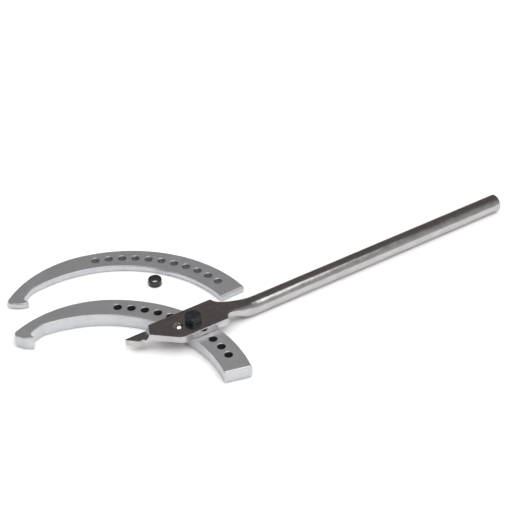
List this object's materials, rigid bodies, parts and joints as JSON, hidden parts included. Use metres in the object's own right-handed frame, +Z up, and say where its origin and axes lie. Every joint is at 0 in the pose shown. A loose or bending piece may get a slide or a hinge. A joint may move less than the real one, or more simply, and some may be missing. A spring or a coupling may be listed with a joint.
{
  "type": "case back opener",
  "caption": "Adjustable hook spanner for notched screw case backs and ring nuts: swinging hook arm on a bar handle with a stepped tooth, spare hook arm and spacer.",
  "frame": {"origin": "pivot bolt axis, on the underside of the fitted hook arm", "axes": "+X along the handle from the pivot to the free end, +Z up out of the bolt head, +Y towards the hook side"},
  "size_m": [0.3421, 0.1646, 0.0191],
  "materials": {
    "handle_nickel": "bright nickel plate over forged and rolled steel",
    "pin_chrome": "bright plated, domed",
    "arm_silver_paint": "satin silver paint over cast steel",
    "bolt_black": "black oxide steel",
    "spare_arm_silver_paint": "satin silver paint over cast steel",
    "spacer_black": "black oxide steel, semi-gloss"
  },
  "bodies": {
    "handle": {"handle": "handle_nickel", "stop_pin": "pin_chrome"},
    "hook": {"hook_arm": "arm_silver_paint"},
    "bolt": {"pivot_bolt": "bolt_black"},
    "spare": {"spare_hook_arm": "spare_arm_silver_paint"},
    "sleeve": {"spacer": "spacer_black"}
  },
  "joints": [
    {"name": "hook_swing", "type": "hinge", "parent": "handle", "child": "hook", "pos_m": [0, 0, 0.005], "axis": [0, 0, 1], "range_deg": [-26, 0]},
    {"name": "bolt_withdraw", "type": "slide", "parent": "hook", "child": "bolt", "axis": [0, 0, 1], "range_m": [0, 0.018]},
    {"name": "spare_lift", "type": "slide", "parent": "handle", "child": "spare", "axis": [0, 0, 1], "range_m": [0, 0.04]},
    {"name": "spacer_lift", "type": "slide", "parent": "handle", "child": "sleeve", "axis": [0, 0, 1], "range_m": [0, 0.04]}
  ]
}
